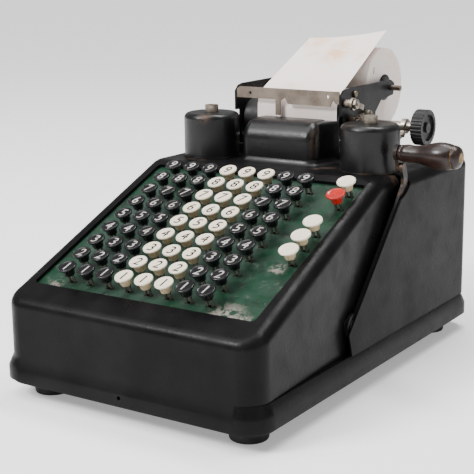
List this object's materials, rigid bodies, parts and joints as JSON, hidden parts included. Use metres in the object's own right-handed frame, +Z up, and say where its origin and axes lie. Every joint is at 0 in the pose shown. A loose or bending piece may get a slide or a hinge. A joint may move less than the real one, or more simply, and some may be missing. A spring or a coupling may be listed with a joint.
{
  "type": "mechanical adding machine",
  "caption": "Hand-cranked full-keyboard adding machine with sloping key panel, side crank, ribbon spool covers and a printing carriage with paper roll.",
  "frame": {"origin": "on the resting surface, under the middle of the whole machine's footprint", "axes": "+Z up; +Y from the operator towards the back of the machine; +X to the operator's right, the crank's side"},
  "size_m": [0.2958, 0.403, 0.2745],
  "materials": {
    "black_enamel": "satin black baked enamel, slightly pebbled",
    "green_enamel": "worn dark green enamel",
    "black_rubber": "dull moulded rubber",
    "steel": "plain machined steel",
    "spring_steel": "drawn wire",
    "worn_nickel": "worn nickel plate, warm grey",
    "brass": "aged brass",
    "turned_wood": "dark polished turned wood",
    "black_key": "polished black, white numerals",
    "cream_key": "polished cream, black numerals",
    "red_key": "polished red",
    "platen_rubber": "ground black rubber",
    "black_hard_rubber": "moulded black hard rubber",
    "paper": "aged uncoated paper"
  },
  "bodies": {
    "root": {"housing": "black_enamel", "base_plate": "black_enamel", "rubber_feet": "black_rubber", "foot_screws": "steel", "key_plate": "green_enamel", "stem_guide_plate": "steel", "side_frames": "steel", "frame_rods": "steel", "type_bar_comb": "steel", "return_spring": "spring_steel", "side_cover": "black_enamel", "hood": "black_enamel", "spool_cover_left": "black_enamel", "spool_cover_right": "black_enamel", "spool_posts": "worn_nickel", "carriage_plate_left": "black_enamel", "carriage_plate_right": "black_enamel", "carriage_bed": "worn_nickel", "tear_bar": "worn_nickel", "carriage_fasteners": "worn_nickel", "roll_spindle": "worn_nickel", "paper_strip": "paper"},
    "crank": {"crank_arm": "black_enamel", "crank_spindle": "brass", "main_shaft": "steel", "reset_bail": "steel"},
    "crank_grip": {"crank_grip": "turned_wood"},
    "type_bars": {"type_bars": "steel"},
    "adding_wheels": {"adding_wheels": "brass"},
    "platen": {"platen_roller": "platen_rubber", "platen_shaft": "worn_nickel", "platen_knob": "black_hard_rubber"},
    "pressure_roller": {"pressure_roller": "platen_rubber"},
    "paper_roll": {"paper_roll": "paper", "roll_core": "black_hard_rubber"},
    "release_lever": {"release_lever": "worn_nickel"},
    "pawl_lever": {"pawl_lever": "worn_nickel"},
    "ribbon_spool_left": {"ribbon_spool_left": "steel"},
    "ribbon_spool_right": {"ribbon_spool_right": "steel"},
    "key_column_1": {"key_caps_column_1": "black_key", "key_stems_column_1": "worn_nickel"},
    "key_column_2": {"key_caps_column_2": "black_key", "key_stems_column_2": "worn_nickel"},
    "key_column_3": {"key_caps_column_3": "black_key", "key_stems_column_3": "worn_nickel"},
    "key_column_4": {"key_caps_column_4": "cream_key", "key_stems_column_4": "worn_nickel"},
    "key_column_5": {"key_caps_column_5": "cream_key", "key_stems_column_5": "worn_nickel"},
    "key_column_6": {"key_caps_column_6": "cream_key", "key_stems_column_6": "worn_nickel"},
    "key_column_7": {"key_caps_column_7": "black_key", "key_stems_column_7": "worn_nickel"},
    "key_column_8": {"key_caps_column_8": "black_key", "key_stems_column_8": "worn_nickel"},
    "function_key_front": {"function_key_front": "cream_key"},
    "function_key_middle": {"function_key_middle": "cream_key"},
    "function_key_upper": {"function_key_upper": "cream_key"},
    "function_key_red": {"function_key_red": "red_key"},
    "function_key_rear": {"function_key_rear": "cream_key"}
  },
  "joints": [
    {"name": "crank_pull", "type": "hinge", "parent": "root", "child": "crank", "pos_m": [0.0869, -0.0535, 0.058], "axis": [1, 0, 0], "range_deg": [0, 70], "stiffness_Nm_per_rad": 1, "springref_deg": -17.19},
    {"name": "grip_spin", "type": "hinge", "parent": "crank", "child": "crank_grip", "pos_m": [0.1169, 0.03, 0.1846], "axis": [1, 0, 0], "continuous": true},
    {"name": "type_bar_lift", "type": "slide", "parent": "root", "child": "type_bars", "axis": [0, 0, 1], "range_m": [0, 0.012]},
    {"name": "adding_wheel_turn", "type": "hinge", "parent": "root", "child": "adding_wheels", "pos_m": [-0.0231, 0.0335, 0.075], "axis": [1, 0, 0], "range_deg": [-141, 1]},
    {"name": "platen_turn", "type": "hinge", "parent": "root", "child": "platen", "pos_m": [-0.0231, 0.0885, 0.198], "axis": [1, 0, 0], "continuous": true},
    {"name": "pressure_roller_turn", "type": "hinge", "parent": "root", "child": "pressure_roller", "pos_m": [-0.0231, 0.07588, 0.17998], "axis": [1, 0, 0], "continuous": true},
    {"name": "paper_roll_turn", "type": "hinge", "parent": "root", "child": "paper_roll", "pos_m": [-0.0231, 0.1645, 0.2215], "axis": [1, 0, 0], "continuous": true},
    {"name": "paper_release", "type": "hinge", "parent": "root", "child": "release_lever", "pos_m": [0.0699, 0.0885, 0.198], "axis": [1, 0, 0], "range_deg": [-25, 25]},
    {"name": "pawl_lift", "type": "hinge", "parent": "root", "child": "pawl_lever", "pos_m": [0.0269, 0.0725, 0.2165], "axis": [1, 0, 0], "range_deg": [0, 12], "stiffness_Nm_per_rad": 0.01, "springref_deg": -17.19},
    {"name": "ribbon_spool_left_turn", "type": "hinge", "parent": "root", "child": "ribbon_spool_left", "pos_m": [-0.1049, 0.0458, 0.18], "axis": [0, 0, 1], "continuous": true},
    {"name": "ribbon_spool_right_turn", "type": "hinge", "parent": "root", "child": "ribbon_spool_right", "pos_m": [0.0579, 0.0458, 0.18], "axis": [0, 0, 1], "continuous": true},
    {"name": "key_press_column_1", "type": "slide", "parent": "root", "child": "key_column_1", "axis": [0, 0.3827, -0.9239], "range_m": [0, 0.0035], "stiffness_N_per_m": 300, "springref_m": -0.004},
    {"name": "key_press_column_2", "type": "slide", "parent": "root", "child": "key_column_2", "axis": [0, 0.3827, -0.9239], "range_m": [0, 0.0035], "stiffness_N_per_m": 300, "springref_m": -0.004},
    {"name": "key_press_column_3", "type": "slide", "parent": "root", "child": "key_column_3", "axis": [0, 0.3827, -0.9239], "range_m": [0, 0.0035], "stiffness_N_per_m": 300, "springref_m": -0.004},
    {"name": "key_press_column_4", "type": "slide", "parent": "root", "child": "key_column_4", "axis": [0, 0.3827, -0.9239], "range_m": [0, 0.0035], "stiffness_N_per_m": 300, "springref_m": -0.004},
    {"name": "key_press_column_5", "type": "slide", "parent": "root", "child": "key_column_5", "axis": [0, 0.3827, -0.9239], "range_m": [0, 0.0035], "stiffness_N_per_m": 300, "springref_m": -0.004},
    {"name": "key_press_column_6", "type": "slide", "parent": "root", "child": "key_column_6", "axis": [0, 0.3827, -0.9239], "range_m": [0, 0.0035], "stiffness_N_per_m": 300, "springref_m": -0.004},
    {"name": "key_press_column_7", "type": "slide", "parent": "root", "child": "key_column_7", "axis": [0, 0.3827, -0.9239], "range_m": [0, 0.0035], "stiffness_N_per_m": 300, "springref_m": -0.004},
    {"name": "key_press_column_8", "type": "slide", "parent": "root", "child": "key_column_8", "axis": [0, 0.3827, -0.9239], "range_m": [0, 0.0035], "stiffness_N_per_m": 300, "springref_m": -0.004},
    {"name": "key_press_front", "type": "slide", "parent": "root", "child": "function_key_front", "axis": [0, 0.3827, -0.9239], "range_m": [0, 0.0035], "stiffness_N_per_m": 100, "springref_m": -0.004},
    {"name": "key_press_middle", "type": "slide", "parent": "root", "child": "function_key_middle", "axis": [0, 0.3827, -0.9239], "range_m": [0, 0.0035], "stiffness_N_per_m": 100, "springref_m": -0.004},
    {"name": "key_press_upper", "type": "slide", "parent": "root", "child": "function_key_upper", "axis": [0, 0.3827, -0.9239], "range_m": [0, 0.0035], "stiffness_N_per_m": 100, "springref_m": -0.004},
    {"name": "key_press_red", "type": "slide", "parent": "root", "child": "function_key_red", "axis": [0, 0.3827, -0.9239], "range_m": [0, 0.0035], "stiffness_N_per_m": 100, "springref_m": -0.004},
    {"name": "key_press_rear", "type": "slide", "parent": "root", "child": "function_key_rear", "axis": [0, 0.3827, -0.9239], "range_m": [0, 0.0035], "stiffness_N_per_m": 100, "springref_m": -0.004}
  ],
  "couplings": [
    {"joint": "type_bar_lift", "follows": "crank_pull", "m_per_rad": 0.0098},
    {"joint": "adding_wheel_turn", "follows": "crank_pull", "ratio": -2},
    {"joint": "pressure_roller_turn", "follows": "platen_turn", "ratio": -3.3},
    {"joint": "paper_roll_turn", "follows": "platen_turn", "ratio": 0.44},
    {"joint": "ribbon_spool_right_turn", "follows": "ribbon_spool_left_turn", "ratio": 1}
  ]
}
